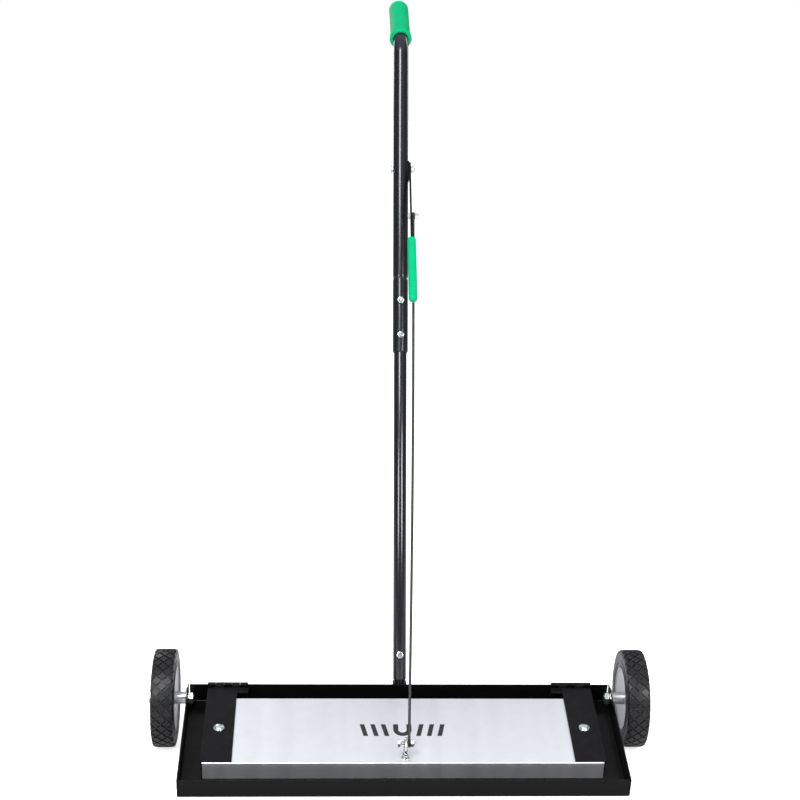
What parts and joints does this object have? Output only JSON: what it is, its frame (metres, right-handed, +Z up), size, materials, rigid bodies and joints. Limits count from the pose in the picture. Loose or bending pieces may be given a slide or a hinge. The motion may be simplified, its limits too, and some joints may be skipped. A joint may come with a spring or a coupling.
{
  "type": "magnetic nail sweeper",
  "caption": "Wheeled magnetic sweeper: a hinged magnet bar in a shallow black tray, a long push handle with green grip, and a lever and rod that lift the bar to drop the nails.",
  "frame": {"origin": "middle of the footprint on the floor, as the sweeper stands at rest on its wheels and on the front edge of its tray", "axes": "+X across the sweeper to its right seen from the front, +Y from the front of the tray to the operator, +Z up"},
  "size_m": [0.9006, 0.8292, 1.3273],
  "materials": {
    "black_coat": "satin black powder coat",
    "black_tube": "gloss black enamel",
    "black_rod": "semi-gloss black",
    "cover_metal": "bright rolled sheet",
    "plain_steel": "mill",
    "ferrite": "matt sintered ceramic",
    "zinc": "bright zinc plate",
    "green_grip": "satin moulded vinyl",
    "green_vinyl": "dipped vinyl",
    "tyre_rubber": "matt moulded tread",
    "hub_paint": "silver paint on pressed steel"
  },
  "bodies": {
    "frame": {"tray": "black_coat", "handle_socket": "black_coat", "lower_tube": "black_tube", "upper_tube": "black_tube", "handle_grip": "green_grip", "handle_base_bolt": "zinc", "handle_base_nut": "zinc", "handle_joint_lower_bolt": "zinc", "handle_joint_lower_nut": "zinc", "handle_joint_upper_bolt": "zinc", "handle_joint_upper_nut": "zinc", "lever_spacer": "black_coat", "lever_pivot_bolt": "zinc", "lever_pivot_nut": "zinc", "axle_bolt_left": "zinc", "axle_bolt_right": "zinc", "axle_nut_left": "zinc", "axle_nut_right": "zinc", "axle_washer_left": "zinc", "axle_washer_right": "zinc", "hinge_leaf_fixed_left": "black_coat", "hinge_leaf_fixed_right": "black_coat", "hinge_pin_left": "zinc", "hinge_pin_right": "zinc"},
    "magnet_unit": {"magnet_cover": "cover_metal", "back_plate": "plain_steel", "magnet_block_1": "ferrite", "magnet_block_2": "ferrite", "magnet_block_3": "ferrite", "magnet_block_4": "ferrite", "magnet_block_5": "ferrite", "magnet_block_6": "ferrite", "end_bracket_left": "black_coat", "end_bracket_right": "black_coat", "bracket_bolt_left": "zinc", "bracket_bolt_right": "zinc", "bracket_nut_left": "zinc", "bracket_nut_right": "zinc", "hinge_leaf_moving_left": "black_coat", "hinge_leaf_moving_right": "black_coat", "eye_bolt": "zinc", "eye_washer": "zinc", "eye_nut_upper": "zinc", "eye_nut_lower": "zinc"},
    "release_lever": {"lever_bar": "black_coat", "lever_grip": "green_vinyl", "rod_bolt": "zinc", "rod_nut": "zinc"},
    "release_rod": {"release_rod": "black_rod", "lifting_bolt": "zinc", "lifting_bolt_nut": "zinc"},
    "wheel_left": {"tyre_left": "tyre_rubber", "wheel_disc_outer_left": "hub_paint", "wheel_disc_inner_left": "hub_paint", "wheel_bush_left": "hub_paint"},
    "wheel_right": {"tyre_right": "tyre_rubber", "wheel_disc_outer_right": "hub_paint", "wheel_disc_inner_right": "hub_paint", "wheel_bush_right": "hub_paint"}
  },
  "joints": [
    {"name": "magnet_hinge", "type": "hinge", "parent": "frame", "child": "magnet_unit", "pos_m": [0, -0.1827, 0.1122], "axis": [-1, 0, 0], "range_deg": [0, 26.9]},
    {"name": "lever_pivot", "type": "hinge", "parent": "frame", "child": "release_lever", "pos_m": [0, 0.18132, 1.00773], "axis": [-1, 0, 0], "range_deg": [0, 59.9]},
    {"name": "rod_pivot", "type": "hinge", "parent": "release_lever", "child": "release_rod", "pos_m": [0.02135, 0.10714, 0.9265], "axis": [-1, 0, 0], "range_deg": [-62.4, 0]},
    {"name": "wheel_left_spin", "type": "hinge", "parent": "frame", "child": "wheel_left", "pos_m": [-0.4196, -0.1846, 0.087], "axis": [1, 0, 0], "continuous": true},
    {"name": "wheel_right_spin", "type": "hinge", "parent": "frame", "child": "wheel_right", "pos_m": [0.4196, -0.1846, 0.087], "axis": [1, 0, 0], "continuous": true}
  ],
  "couplings": [
    {"joint": "lever_pivot", "follows": "magnet_hinge", "ratio": 2.2249},
    {"joint": "rod_pivot", "follows": "magnet_hinge", "ratio": -2.3163}
  ]
}
